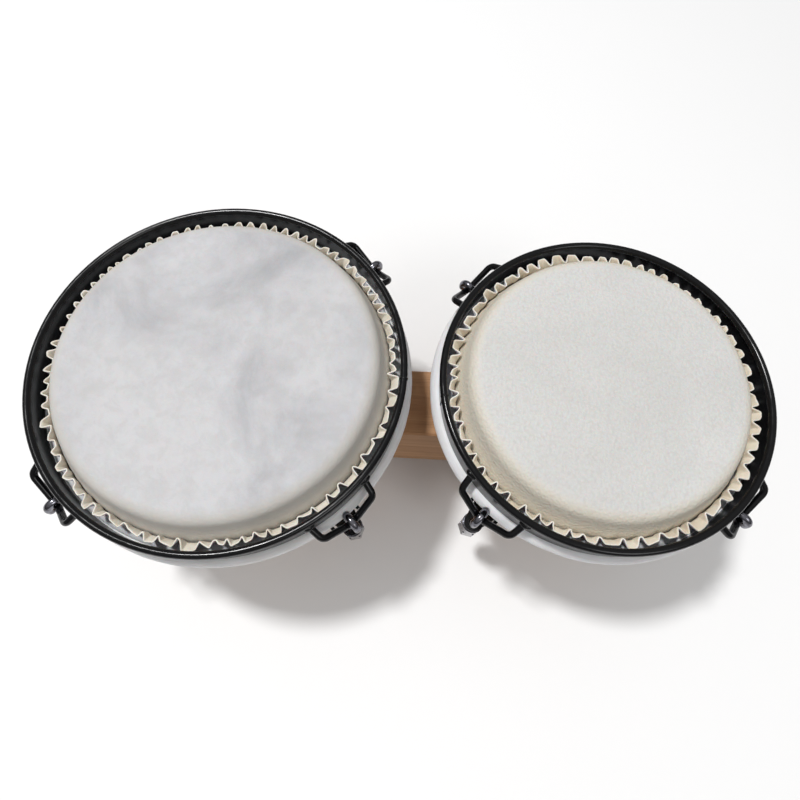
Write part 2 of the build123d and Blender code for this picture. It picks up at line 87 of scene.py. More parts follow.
class Drum:
    """Sizes of one drum, read from the frame, with its ears' turn in degrees and a random seed."""

    def __init__(self, name, turn, seed):
        self.name = name
        self.turn = turn
        self.seed = seed
        wire_low, wire_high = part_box(f"{name}_rim_wire")
        head_low, head_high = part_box(f"{name}_head")
        band_low, band_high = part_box(f"{name}_rim_band")
        fold_low, fold_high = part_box(f"{name}_skin_fold")
        ring_low, ring_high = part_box(f"{name}_flesh_ring")
        nut_low, nut_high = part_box(f"{name}_tuning_nut_1")
        self.x = (wire_low.x + wire_high.x) / 2
        self.wire_r = (wire_high.z - wire_low.z) / 2
        self.wire_z = (wire_high.z + wire_low.z) / 2
        self.crown_r = (wire_high.x - wire_low.x) / 2 - self.wire_r
        self.band_inner = 2 * self.crown_r - (band_high.x - band_low.x) / 2
        self.band_bottom = band_low.z
        self.top = head_high.z
        self.foot_r = (head_high.x - head_low.x) / 2
        self.foot_z = head_low.z
        self.corner_r = self.foot_r - COLLAR_FLARE
        self.fold_r = (fold_high.x - fold_low.x) / 2 - self.crown_r
        self.fold_z = (ring_high.z + ring_low.z) / 2
        self.tail_top = fold_high.z
        nut = ((nut_low.x + nut_high.x) / 2 - self.x, (nut_low.y + nut_high.y) / 2)
        self.rod_r = hypot(*nut)
        self.crown = f"{name}_crown"

    def azimuths(self):
        return [radians(a + self.turn) for a in EAR_AZIMUTHS]

    def point(self, radius, angle, height):
        return Vector((self.x + radius * cos(angle), radius * sin(angle), height))


LARGE = Drum("large", -0.6, 11)
SMALL = Drum("small", 2.7, 29)
DRUMS = (LARGE, SMALL)


# ---- mesh helpers -------------------------------------------------------------------------

def mesh_object(name, points, faces, materials, face_materials=None):
    """A smooth-shaded mesh object from points in metres and lists of point numbers."""
    mesh = bpy.data.meshes.new(name)
    mesh.from_pydata([tuple(p) for p in points], [], faces)
    for material in materials:
        mesh.materials.append(material)
    if face_materials is not None:
        mesh.polygons.foreach_set("material_index", face_materials)
    bm = bmesh.new()
    bm.from_mesh(mesh)
    bmesh.ops.recalc_face_normals(bm, faces=bm.faces)
    bm.to_mesh(mesh)
    bm.free()
    mesh.polygons.foreach_set("use_smooth", [True] * len(mesh.polygons))
    mesh.update()
    made = bpy.data.objects.new(name, mesh)
    bpy.context.scene.collection.objects.link(made)
    return made


def ring_faces(rows, columns, first=0, closed_rows=False):
    """Quads between rows of points that each run once round the drum."""
    faces = []
    for row in range(rows if closed_rows else rows - 1):
        here = first + row * columns
        above = first + ((row + 1) % rows) * columns
        for i in range(columns):
            j = (i + 1) % columns
            faces.append((here + i, here + j, above + j, above + i))
    return faces


def rounded_corner(before, corner, after, radius, steps):
    """Points (radius, height) of an arc that rounds one corner."""
    a, c, b = Vector(before), Vector(corner), Vector(after)
    into, out = (a - c).normalized(), (b - c).normalized()
    half = into.angle(out) / 2
    start = c + into * (radius / np.tan(half))
    centre = c + (into + out).normalized() * (radius / sin(half))
    first, sweep = start - centre, pi - 2 * half
    side = 1 if first.x * out.y - first.y * out.x > 0 else -1
    points = []
    for k in range(steps + 1):
        t = side * sweep * k / steps
        turned = Vector((first.x * cos(t) - first.y * sin(t), first.x * sin(t) + first.y * cos(t)))
        points.append(centre + turned)
    return points


def straight(start, end, steps):
    """Points between two ends, without the ends."""
    a, b = Vector(start), Vector(end)
    return [a.lerp(b, k / steps) for k in range(1, steps)]


def smooth_noise(x, y, z, octaves=1):
    return noise.fractal(Vector((x, y, z)), 1.0, 2.0, octaves)


# ---- node helpers -------------------------------------------------------------------------

class Nodes:
    """A short way to write a material's node tree."""

    def __init__(self, name):
        self.material = bpy.data.materials.new(name)
        self.material.use_nodes = True
        self.tree = self.material.node_tree
        self.shader = self.tree.nodes["Principled BSDF"]
        self.place = self.add("ShaderNodeTexCoord").outputs["Object"]

    def add(self, kind, **values):
        node = self.tree.nodes.new(kind)
        for key, value in values.items():
            setattr(node, key, value)
        return node

    def link(self, source, target):
        self.tree.links.new(source, target)

    def feed(self, socket, value):
        if isinstance(value, bpy.types.NodeSocket):
            self.link(value, socket)
        else:
            socket.default_value = value

    def maths(self, operation, a, b=0.0):
        node = self.add("ShaderNodeMath", operation=operation)
        self.feed(node.inputs[0], a)
        self.feed(node.inputs[1], b)
        return node.outputs[0]

    def noise(self, scale, detail=4.0, roughness=0.5, distortion=0.0, at=None):
        node = self.add("ShaderNodeTexNoise")
        self.link(at or self.place, node.inputs["Vector"])
        node.inputs["Scale"].default_value = scale
        node.inputs["Detail"].default_value = detail
        node.inputs["Roughness"].default_value = roughness
        node.inputs["Distortion"].default_value = distortion
        return node.outputs["Fac"]

    def cells(self, scale, feature="F1", at=None):
        node = self.add("ShaderNodeTexVoronoi", feature=feature)
        self.link(at or self.place, node.inputs["Vector"])
        node.inputs["Scale"].default_value = scale
        return node.outputs["Distance"]

    def stretched(self, x, y, z):
        node = self.add("ShaderNodeMapping")
        self.link(self.place, node.inputs["Vector"])
        node.inputs["Scale"].default_value = (x, y, z)
        return node.outputs["Vector"]

    def ramp(self, value, *stops):
        node = self.add("ShaderNodeValToRGB")
        self.link(value, node.inputs["Fac"])
        elements = node.color_ramp.elements
        while len(elements) < len(stops):
            elements.new(0.5)
        for element, (place, colour) in zip(elements, stops):
            element.position = place
            element.color = (*colour, 1.0)
        return node.outputs["Color"]

    def span(self, value, low, high, to_low=0.0, to_high=1.0):
        node = self.add("ShaderNodeMapRange", interpolation_type="SMOOTHSTEP")
        self.link(value, node.inputs["Value"])
        node.inputs["From Min"].default_value = low
        node.inputs["From Max"].default_value = high
        node.inputs["To Min"].default_value = to_low
        node.inputs["To Max"].default_value = to_high
        return node.outputs["Result"]

    def mix(self, factor, a, b, blend="MIX"):
        node = self.add("ShaderNodeMix", data_type="RGBA", blend_type=blend)
        self.feed(node.inputs[0], factor)
        for socket, value in ((node.inputs[6], a), (node.inputs[7], b)):
            is_socket = isinstance(value, bpy.types.NodeSocket)
            self.feed(socket, value if is_socket else (*value, 1.0))
        return node.outputs[2]

    def bump(self, height, distance, strength=1.0, over=None):
        node = self.add("ShaderNodeBump")
        self.link(height, node.inputs["Height"])
        node.inputs["Distance"].default_value = distance
        node.inputs["Strength"].default_value = strength
        if over is not None:
            self.link(over, node.inputs["Normal"])
        return node.outputs["Normal"]

    def finish(self, colour, roughness, normal=None, **constants):
        self.feed(self.shader.inputs["Base Color"], colour)
        self.feed(self.shader.inputs["Roughness"], roughness)
        if normal is not None:
            self.link(normal, self.shader.inputs["Normal"])
        for key, value in constants.items():
            self.shader.inputs[key.replace("_", " ")].default_value = value
        return self.material


# ---- materials ----------------------------------------------------------------------------

LIGHT_DEPTH = 0.002                     # metres that light travels in the hide
COLLAR_START, COLLAR_END = -7 * MM, 1 * MM      # where the creamy tone sets in, from the corner
STAVES = 22


def from_axis(n, drum):
    """Sockets with x and y measured from a drum's axis."""
    split = n.add("ShaderNodeSeparateXYZ")
    n.link(n.place, split.inputs[0])
    return n.maths("SUBTRACT", split.outputs["X"], drum.x), split.outputs["Y"]


def collar_share(n, drum):
    """Socket that is 0 on the playing surface and 1 on the collar."""
    x, y = from_axis(n, drum)
    reach = n.maths("SQRT", n.maths("ADD", n.maths("MULTIPLY", x, x), n.maths("MULTIPLY", y, y)))
    return n.span(reach, drum.corner_r + COLLAR_START, drum.corner_r + COLLAR_END)


def large_skin():
    """Cool white hide with soft grey marbling, creamier on the collar."""
    n = Nodes("large_hide")
    marbling = n.noise(15.0, 7.0, 0.62, 0.6)
    cloud = n.noise(6.5, 4.0, 0.55, 0.3)
    fine = n.noise(120.0, 6.0, 0.65, 0.4)
    greys = ((0.34, (0.37, 0.37, 0.385)), (0.48, (0.475, 0.473, 0.49)), (0.60, (0.54, 0.537, 0.55)))
    colour = n.ramp(marbling, *greys)
    pale = n.mix(n.span(cloud, 0.40, 0.62), colour, (0.545, 0.54, 0.548))
    veined = n.mix(n.span(fine, 0.35, 0.62, 0.30, 0.0), pale, (0.40, 0.39, 0.385))
    collar = n.maths("MULTIPLY", collar_share(n, LARGE), 0.75)
    final = n.mix(collar, veined, (0.56, 0.53, 0.475))
    pores = n.noise(1500.0, 3.0, 0.6)
    wrinkles = n.noise(230.0, 5.0, 0.6, 0.8)
    normal = n.bump(wrinkles, 0.35 * MM, 0.35)
    normal = n.bump(pores, 0.12 * MM, 0.45, over=normal)
    normal = n.bump(n.cells(560.0, "SMOOTH_F1"), 0.22 * MM, 0.5, over=normal)
    rough = n.span(marbling, 0.3, 0.7, 0.66, 0.56)
    return n.finish(final, rough, normal,
                    Subsurface_Weight=0.12, Subsurface_Scale=LIGHT_DEPTH, Specular_IOR_Level=0.25)


def small_skin():
    """Warm white hide with a fine pebbled grain, creamier on the collar."""
    n = Nodes("small_hide")
    cloud = n.noise(11.0, 5.0, 0.6, 0.5)
    pebbles = n.cells(640.0, "SMOOTH_F1")
    speckle = n.noise(900.0, 4.0, 0.7)
    colour = n.ramp(cloud, (0.36, (0.555, 0.55, 0.535)), (0.62, (0.61, 0.605, 0.59)))
    grained = n.mix(n.span(pebbles, 0.25, 0.75, 0.0, 0.30), colour, (0.47, 0.45, 0.42))
    dotted = n.mix(n.span(speckle, 0.56, 0.74, 0.0, 0.35), grained, (0.44, 0.42, 0.40))
    collar = n.maths("MULTIPLY", collar_share(n, SMALL), 0.8)
    final = n.mix(collar, dotted, (0.63, 0.58, 0.48))
    normal = n.bump(n.noise(200.0, 4.0, 0.6, 0.5), 0.3 * MM, 0.3)
    normal = n.bump(pebbles, 0.4 * MM, 0.9, over=normal)
    return n.finish(final, n.span(cloud, 0.3, 0.7, 0.64, 0.54), normal,
                    Subsurface_Weight=0.12, Subsurface_Scale=LIGHT_DEPTH, Specular_IOR_Level=0.3)


def hide_back(name, colour, dark):
    """Flesh side of the hide: creamy, fibrous, a little stained."""
    n = Nodes(name)
    stains = n.noise(70.0, 5.0, 0.6, 0.4)
    fibres = n.noise(900.0, 4.0, 0.65, 1.2)
    tone = n.mix(n.span(stains, 0.38, 0.66, 0.0, 0.6), colour, dark)
    tone = n.mix(n.span(fibres, 0.45, 0.7, 0.0, 0.25), tone, dark)
    return n.finish(tone, 0.62, n.bump(fibres, 0.15 * MM, 0.5),
                    Subsurface_Weight=0.1, Subsurface_Scale=LIGHT_DEPTH)


def folded_hide(name, colour, dark):
    """Hide pulled smooth round the ring, with fine streaks along it."""
    n = Nodes(name)
    streaks = n.noise(1.0, 5.0, 0.6, 0.2, at=n.stretched(60.0, 60.0, 1100.0))
    stains = n.noise(45.0, 5.0, 0.6, 0.3)
    tone = n.mix(n.span(streaks, 0.40, 0.68, 0.0, 0.45), colour, dark)
    tone = n.mix(n.span(stains, 0.45, 0.72, 0.0, 0.4), tone, dark)
    return n.finish(tone, 0.48, n.bump(streaks, 0.25 * MM, 0.5),
                    Subsurface_Weight=0.1, Subsurface_Scale=LIGHT_DEPTH)


def gloss_black(name, worn=0.0):
    """Thick glossy black paint over steel, a little wavy, with dust in it."""
    n = Nodes(name)
    waves = n.noise(160.0, 3.0, 0.5)
    dust = n.noise(2600.0, 2.0, 0.5)
    black, dusty = (0.0025, 0.0025, 0.003), (0.02, 0.02, 0.022)
    colour = n.mix(n.span(dust, 0.66, 0.80, 0.0, 0.35), black, dusty)
    rough = n.span(waves, 0.3, 0.7, 0.14 + worn, 0.24 + worn)
    return n.finish(colour, rough, n.bump(waves, 0.12 * MM, 0.3), Specular_IOR_Level=0.28)


def dark_chrome():
    """Black nickel plate, with faint drawing lines and duller patches."""
    n = Nodes("dark_plating")
    patches = n.noise(420.0, 4.0, 0.6)
    lines = n.noise(1.0, 3.0, 0.5, at=n.stretched(2400.0, 2400.0, 90.0))
    colour = n.mix(n.span(patches, 0.4, 0.68), (0.22, 0.22, 0.25), (0.12, 0.115, 0.125))
    rough = n.span(patches, 0.35, 0.7, 0.12, 0.30)
    return n.finish(colour, rough, n.bump(lines, 0.03 * MM, 0.3), Metallic=1.0)


def plain_steel():
    """Zinc-plated steel, slightly mottled."""
    n = Nodes("zinc_steel")
    patches = n.noise(350.0, 5.0, 0.6)
    colour = n.mix(n.span(patches, 0.4, 0.65), (0.62, 0.61, 0.58), (0.44, 0.44, 0.43))
    rough = n.span(patches, 0.3, 0.7, 0.26, 0.42)
    return n.finish(colour, rough, n.bump(patches, 0.03 * MM, 0.3), Metallic=1.0)


def wood(name, light, dark, along):
    """Satin hardwood with its grain along one axis (0, 1 or 2)."""
    n = Nodes(name)
    across, with_grain = 260.0, 9.0
    ring_scale, fibre_scale = 0.35, 4.0
    stretch = [across] * 3
    stretch[along] = with_grain
    rings = n.noise(1.0, 6.0, 0.6, 0.8, at=n.stretched(*[s * ring_scale for s in stretch]))
    fibres = n.noise(1.0, 5.0, 0.7, 0.3, at=n.stretched(*[s * fibre_scale for s in stretch]))
    middle = tuple((a + b) / 2 for a, b in zip(light, dark))
    darkest = tuple(0.55 * c for c in dark)
    colour = n.ramp(rings, (0.32, dark), (0.52, middle), (0.68, light))
    colour = n.mix(n.span(fibres, 0.48, 0.72, 0.0, 0.45), colour, darkest)
    return n, colour, fibres


def block_wood():
    """Light hardwood with its grain from drum to drum."""
    n, colour, fibres = wood("block_wood", (0.52, 0.29, 0.145), (0.36, 0.18, 0.08), 0)
    rough = n.span(fibres, 0.3, 0.7, 0.42, 0.56)
    return n.finish(colour, rough, n.bump(fibres, 0.08 * MM, 0.4), Specular_IOR_Level=0.3)


def stave_wood(drum):
    """Staved shell: upright grain, each stave in its own tone, a thin dark glue line between two."""
    n, colour, fibres = wood(f"{drum.name}_staves", (0.60, 0.37, 0.20), (0.44, 0.245, 0.12), 2)
    x, y = from_axis(n, drum)
    staves = n.maths("MULTIPLY", n.maths("ARCTAN2", y, x), STAVES / tau)
    part = n.maths("FRACT", staves)
    number = n.maths("FLOOR", staves)
    tone = n.add("ShaderNodeTexWhiteNoise", noise_dimensions="1D")
    n.link(number, tone.inputs["W"])
    colour = n.mix(n.maths("MULTIPLY", tone.outputs["Value"], 0.35), colour, (0.30, 0.155, 0.075))
    joint = n.span(n.maths("ABSOLUTE", n.maths("SUBTRACT", part, 0.5)), 0.485, 0.498)
    colour = n.mix(n.maths("MULTIPLY", joint, 0.8), colour, (0.06, 0.03, 0.018))
    normal = n.bump(fibres, 0.08 * MM, 0.35)
    normal = n.bump(n.maths("SUBTRACT", 1.0, joint), 0.2 * MM, 0.6, over=normal)
    rough = n.span(fibres, 0.3, 0.7, 0.30, 0.42)
    return n.finish(colour, rough, normal, Coat_Weight=0.35, Coat_Roughness=0.18)


CROWN_PAINT = gloss_black("crown_paint")
BRACKET_PAINT = gloss_black("bracket_paint", 0.12)
PLATING = dark_chrome()
STEEL = plain_steel()
BLOCK_WOOD = block_wood()
SKIN = {"large": large_skin(), "small": small_skin()}
FOLD = {
    "large": folded_hide("large_fold_hide", (0.74, 0.735, 0.74), (0.58, 0.565, 0.55)),
    "small": folded_hide("small_fold_hide", (0.76, 0.76, 0.78), (0.63, 0.615, 0.60)),
}
BACK = {
    "large": hide_back("large_hide_back", (0.78, 0.73, 0.64), (0.60, 0.53, 0.42)),
    "small": hide_back("small_hide_back", (0.80, 0.73, 0.62), (0.62, 0.53, 0.40)),
}
FRILL_FACE = {
    "large": hide_back("large_frill_face", (0.84, 0.84, 0.86), (0.70, 0.69, 0.68)),
    "small": hide_back("small_frill_face", (0.86, 0.86, 0.89), (0.74, 0.72, 0.72)),
}
CUT_EDGE = hide_back("hide_cut_edge", (0.80, 0.77, 0.71), (0.62, 0.55, 0.44))


def paint_nodes():
    """Gives every node of the frame its material."""
    finishes = {
        "rim_wire": CROWN_PAINT, "rim_band": CROWN_PAINT, "rim_ears": CROWN_PAINT,
        "tuning_hooks": PLATING, "nut_washers": PLATING, "bracket_bolts": PLATING,
        "brackets": BRACKET_PAINT, "bracket_washers": STEEL, "bracket_nuts": STEEL,
        "flesh_ring": STEEL, "wedge_pad": BLOCK_WOOD,
    }
    for number in range(1, 5):
        finishes[f"tuning_nut_{number}"] = PLATING
    chosen = {
        "centre_block": BLOCK_WOOD,
        "block_bolts": STEEL, "block_nuts": STEEL, "block_washers": STEEL,
    }
    for drum in DRUMS:
        chosen |= {f"{drum.name}_{part}": finish for part, finish in finishes.items()}
        chosen[f"{drum.name}_shell"] = stave_wood(drum)
        chosen[f"{drum.name}_head"] = SKIN[drum.name]
        chosen[f"{drum.name}_skin_fold"] = FOLD[drum.name]
    for name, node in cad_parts.items():
        node.data.materials.clear()
        node.data.materials.append(chosen[name])


# ---- skins --------------------------------------------------------------------------------

HEAD_COLUMNS = 360
FLAT_RINGS, INNER_FLAT_RINGS = 26, 6
ARC_STEPS = 9
COLLAR_STEPS, INNER_COLLAR_STEPS = 14, 8
WRAP_STEPS = 8
WRAP_TURN = 75                          # degrees that the skin follows the fold round, going under
SHELL_GAP = 0.05 * MM                   # between the skin's back and the shell
FOOT_RISE = 1.5 * MM                    # collar's foot, above the flesh ring's centre
FOOT_OUT = 0.12 * MM                    # from the fold's inner side to the collar's foot
EDGE_WAVE, PLEAT, SAG = 0.22, 0.35, 0.16        # unevenness of the skin, in mm


def head_profile(drum):
    """Closed (radius, height) line of the head: over it and down the collar, then back inside."""
    ring = Vector((drum.crown_r, drum.fold_z))
    skin = SKIN_THICKNESS - SHELL_GAP
    corner = Vector((drum.corner_r, drum.top))
    foot = ring + Vector((-drum.fold_r - FOOT_OUT, FOOT_RISE))
    arc = rounded_corner((0, drum.top), corner, foot, BEARING_ROUND, ARC_STEPS)
    flat = straight((0, drum.top), arc[0], FLAT_RINGS)
    outer = flat + arc + straight(arc[-1], foot, COLLAR_STEPS)
    wrap_out, wrap_in = [], []
    for k in range(WRAP_STEPS + 1):
        share = k / WRAP_STEPS
        angle = radians(180 + WRAP_TURN * share)
        along = Vector((cos(angle), sin(angle)))
        wrap_out.append(ring + along * (drum.fold_r - 0.6 * MM * share))
        wrap_in.append(ring + along * (drum.fold_r + skin * (1 - share) ** 1.5 - 0.2 * MM * share))
    inner_foot = Vector((foot.x - skin, foot.y))
    inner_corner = Vector((corner.x - skin, corner.y - skin))
    centre = (0, inner_corner.y)
    inner_arc = rounded_corner(centre, inner_corner, inner_foot, BEARING_ROUND - skin, ARC_STEPS)
    inner_flat = straight(centre, inner_arc[0], INNER_FLAT_RINGS)
    inner = inner_flat + inner_arc + straight(inner_arc[-1], inner_foot, INNER_COLLAR_STEPS)
    return outer, wrap_out, wrap_in, inner


def head(drum):
    """The struck skin: slightly uneven, pulled over the bearing edge and under the ring."""
    outer, wrap_out, wrap_in, inner = head_profile(drum)
    seed = drum.seed
    points = [(drum.x, 0.0, drum.top)]
    rows = [(p, 1.0) for p in outer + wrap_out] + [(p, 0.0) for p in (inner + wrap_in)[::-1]]
    for place, shown in rows:
        rise = max(0.0, (drum.top - place.y) / (drum.top - drum.foot_z))
        for i in range(HEAD_COLUMNS):
            angle = tau * i / HEAD_COLUMNS
            ux, uy = cos(angle), sin(angle)
            sag = smooth_noise(ux * place.x * 22, uy * place.x * 22, seed, 2)
            edge = smooth_noise(ux * 3.1, uy * 3.1, seed + 5)
            pleat = smooth_noise(ux * 22, uy * 22, seed + 9) * min(1.0, 1.6 * rise) ** 2
            wave = EDGE_WAVE * edge * min(1.0, 4 * rise)
            reach = place.x + shown * (wave + PLEAT * pleat * (rise < 1.05)) * MM
            lift = shown * SAG * MM * sag * (1 - min(1.0, 3 * rise))
            points.append((drum.x + ux * reach, uy * reach, place.y + lift))
    count = HEAD_COLUMNS
    faces = [(0, 1 + i, 1 + (i + 1) % count) for i in range(count)]
    faces += ring_faces(len(rows), count, first=1)
    last = 1 + (len(rows) - 1) * count
    points.append((drum.x, 0.0, inner[0].y))
    faces += [(len(points) - 1, last + (i + 1) % count, last + i) for i in range(count)]
    made = mesh_object(f"{drum.name}_struck_skin", points, faces, [SKIN[drum.name]])
    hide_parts(f"{drum.name}_head")
    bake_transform(made)


FOLD_COLUMNS = 960
FOLD_ROWS = 30
BAND_GAP = 0.03 * MM                    # between the fold's flattened top and the band
LUMPS, STREAKS = 0.16, 0.10             # unevenness of the fold, in mm
# how far the fold's outer side bulges out, and the azimuth in degrees where it bulges most
RING_SHIFT = {"large": (0.5 * MM, -20.0), "small": (1.5 * MM, 148.0)}


def fold(drum):
    """Hide folded round the flesh ring, flat under the band and dented by the hooks."""
    shift, shift_angle = RING_SHIFT[drum.name]
    points = []
    rods = [Vector((drum.rod_r * cos(a), drum.rod_r * sin(a))) for a in drum.azimuths()]
    for row in range(FOLD_ROWS):
        section = tau * row / FOLD_ROWS
        for i in range(FOLD_COLUMNS):
            angle = tau * i / FOLD_COLUMNS
            ux, uy = cos(angle), sin(angle)
            moved = shift * max(0.0, cos(angle - radians(shift_angle)))
            lumps = smooth_noise(ux * 9, uy * 9, drum.seed + 2 * sin(section), 2)
            streak = smooth_noise(ux * 4, uy * 4, drum.seed + 60 + 9 * section)
            thick = drum.fold_r + (LUMPS * lumps + STREAKS * streak) * MM
            reach = drum.crown_r + moved * max(0.0, cos(section)) + thick * cos(section)
            height = min(drum.fold_z + thick * sin(section), drum.band_bottom - BAND_GAP)
            place = Vector((reach * ux, reach * uy))
            for rod in rods:
                away = place - rod
                if away.length < HOOK_DENT_R:
                    place = rod + away.normalized() * HOOK_DENT_R
            points.append((drum.x + place.x, place.y, height))
    faces = ring_faces(FOLD_ROWS, FOLD_COLUMNS, closed_rows=True)
    made = mesh_object(f"{drum.name}_folded_skin", points, faces, [FOLD[drum.name]])
    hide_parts(f"{drum.name}_skin_fold")
    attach(made, drum.crown)


FRILL_STEP = 0.42 * MM                  # along the cut edge
FRILL_ROWS = 12
FRILL_SEAT = 2.1 * MM                   # the sheet's foot, inside the crown's centre circle
COLLAR_CLEAR = 0.45 * MM                # between the sheet and the collar
BAND_CLEAR = 0.35 * MM                  # between the sheet and the band
FAR_RISE = 1.6 * MM                     # the sheet stands this much taller at the far left
FAR_LEFT = 135                          # azimuth, in degrees
FRILL_WAIST = 0.50                      # share of its height where the sheet meets the collar
SMOOTHING, LAP = 7, 9                   # steps of the smoothing window, and of the lap round the start
LAST_WAVE = 9.0                         # mm left for the last wave

# widths in mm, least and most, of the outward and inward parts of a wave, and of the turn between
WAVES = {
    "large": ((1.0, 4.0), (1.8, 5.8), 1.2),
    "small": ((2.4, 7.0), (1.2, 3.6), 1.3),
}
# the same on the player's side, where the sheet lies outward, and that side's turn in degrees
NEAR_OUTWARD = (3.0, 8.5)
NEAR_INWARD = (0.5, 2.6)
NEAR_TURN = {"large": 40.0, "small": -25.0}

# crests' distance from the crown's centre circle: mean, swing, and azimuth where they are widest
FRILL_CRESTS = {
    "large": (-3.7 * MM, 2.2 * MM, -45.0),
    "small": (-3.0 * MM, 1.5 * MM, -135.0),
}


def frill_waves(drum, length):
    """How far out the cut edge stands, 0 to 1, and how far each part leans, along the edge."""
    draw = np.random.default_rng(drum.seed)
    outward, inward, turn = WAVES[drum.name]
    places, levels = [0.0], [0.0]
    while places[-1] < length / MM - LAST_WAVE:
        away = sin(tau * places[-1] * MM / length - radians(NEAR_TURN[drum.name]))
        near = min(1.0, max(0.0, 0.45 - 0.9 * away))
        valley = draw.uniform(*inward) * (1 - near) + draw.uniform(*NEAR_INWARD) * near
        crest = draw.uniform(*outward) * (1 - near) + draw.uniform(*NEAR_OUTWARD) * near
        height = draw.uniform(0.6, 1.0)
        tucked_in = 0.22 * (1 - near) * draw.uniform(0.2, 1.4)
        tucked_in += near * draw.uniform(0.25, 0.55)
        tilt = draw.uniform(-0.12, 0.12)
        rise = turn * draw.uniform(0.7, 1.3)
        fall = turn * draw.uniform(0.7, 1.3)
        wave = (
            (valley, tucked_in),
            (rise, height - tilt),
            (crest, height + tilt),
            (fall, 0.8 * tucked_in),
        )
        for step, level in wave:
            places.append(places[-1] + step)
            levels.append(level)
    steps = ceil(length / FRILL_STEP)
    along = np.linspace(0, places[-1], steps, endpoint=False)
    level = np.interp(along, places, levels)
    window = np.hanning(SMOOTHING)
    window /= window.sum()
    lapped = np.concatenate([level[-LAP:], level, level[:LAP]])
    level = np.convolve(lapped, window, "same")[LAP:-LAP]
    turns = tau * np.arange(steps) / steps
    lean = np.array([smooth_noise(7 * cos(t), 7 * sin(t), drum.seed + 70) for t in turns])
    return level, lean


def frill(drum):
    """Trimmed end of the hide, standing in waves between the band and the collar."""
    half = FRILL_THICKNESS / 2
    base_r = drum.crown_r - FRILL_SEAT
    base_z = drum.fold_z + sqrt(drum.fold_r**2 - FRILL_SEAT**2) - 0.3 * MM
    top_z = drum.tail_top + 0.9 * MM
    level, lean = frill_waves(drum, tau * (drum.crown_r - 6 * MM))
    count = len(level)
    slope = COLLAR_FLARE / (drum.top - drum.foot_z)
    spread, swing, towards = FRILL_CRESTS[drum.name]
    limit = drum.band_inner - BAND_CLEAR - half
    middle = np.zeros((FRILL_ROWS, count, 3))
    for i in range(count):
        angle = tau * i / count
        ux, uy = cos(angle), sin(angle)
        ragged = smooth_noise(ux * 40, uy * 40, drum.seed + 20) * 0.6
        ragged += smooth_noise(ux * 9, uy * 9, drum.seed)
        rise = top_z - base_z + (0.5 * ragged - 0.4 * level[i]) * MM
        rise += FAR_RISE * max(0.0, cos(angle - radians(FAR_LEFT)))
        crest = min(drum.crown_r + spread + swing * cos(angle - radians(towards)), limit)
        wander = 0.35 * MM * smooth_noise(ux * 15, uy * 15, drum.seed + 31)
        tucked_r = drum.corner_r + slope * (drum.top - base_z - rise) + COLLAR_CLEAR + half
        flare = max(0.0, crest - tucked_r + wander) * level[i] + 0.5 * MM * max(0.0, ragged)
        for row in range(FRILL_ROWS):
            up = row / (FRILL_ROWS - 1)
            height = base_z + rise * up
            hugging = drum.corner_r + slope * (drum.top - height) + COLLAR_CLEAR + half
            tucked = min(1.0, up / FRILL_WAIST)
            opened = max(0.0, (up - 0.6 * FRILL_WAIST) / (1 - 0.6 * FRILL_WAIST))
            radius = base_r + (hugging - base_r) * tucked * tucked * (3 - 2 * tucked)
            radius = min(radius + flare * opened**1.3, limit)
            curl = lean[i] * (level[i] - 0.3) * 1.9 * MM * opened**1.5
            turned = angle + curl / radius
            middle[row, i] = (radius * cos(turned), radius * sin(turned), height)
    along = np.roll(middle, -1, axis=1) - np.roll(middle, 1, axis=1)
    side = np.stack([along[..., 1], -along[..., 0], np.zeros_like(along[..., 0])], axis=-1)
    side /= np.linalg.norm(side, axis=-1, keepdims=True)
    outside, inside = middle + side * half, middle - side * half
    crest = middle[-1] + np.array([0, 0, half * 0.7])
    rows = list(outside) + [crest] + list(inside[::-1])
    points = np.concatenate(rows) + np.array([drum.x, 0, 0])
    faces = ring_faces(len(rows), count, closed_rows=True)
    materials = [FRILL_FACE[drum.name], BACK[drum.name], CUT_EDGE]
    kind_of_row = [0] * (FRILL_ROWS - 1) + [2, 2] + [1] * FRILL_ROWS
    kinds = [kind for kind in kind_of_row for _ in range(count)]
    made = mesh_object(f"{drum.name}_trimmed_frill", points, faces, materials, kinds)
    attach(made, drum.crown)


# ---- metal details ------------------------------------------------------------------------

def blob(size, seed, centre, axes):
    """Points and faces of one lumpy weld bead."""
    bm = bmesh.new()
    bmesh.ops.create_icosphere(bm, subdivisions=3, radius=1.0)
    points = []
    for v in bm.verts:
        lump = 1 + 0.14 * noise.noise(v.co * 1.7 + Vector((seed, 0, 0)))
        local = Vector((v.co.x * size[0], v.co.y * size[1], v.co.z * size[2])) * lump
        points.append(centre + axes[0] * local.x + axes[1] * local.y + axes[2] * local.z)
    faces = [[v.index for v in f.verts] for f in bm.faces]
    bm.free()
    return points, faces


def joined(name, parts, material, body):
    """One object from several (points, faces) parts."""
    points, faces = [], []
    for part_points, part_faces in parts:
        first = len(points)
        points += part_points
        faces += [[first + i for i in f] for f in part_faces]
    made = mesh_object(name, points, faces, [material])
    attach(made, body)


EAR_ROOT_HALF = 20.0 * MM               # half the distance between an ear's two ends
EAR_ROOT_DROP = 4.6 * MM                # an ear's ends, below the wire's centre
WELD_SIZE = (1.9 * MM, 3.5 * MM, 2.7 * MM)      # outward, along the rim, and up
WELD_OUT = 1.7 * MM                     # a weld's centre, outside the crown's centre circle
WELD_DROP = 0.2 * MM                    # and below the ear's ends
SEAM_AZIMUTH = {"large": -2.0, "small": -172.0}     # degrees
SEAM_BEADS = 7                          # down the band


def axes_at(angle):
    """Outward, along the rim, and up."""
    return Vector((cos(angle), sin(angle), 0)), Vector((-sin(angle), cos(angle), 0)), Vector((0, 0, 1))


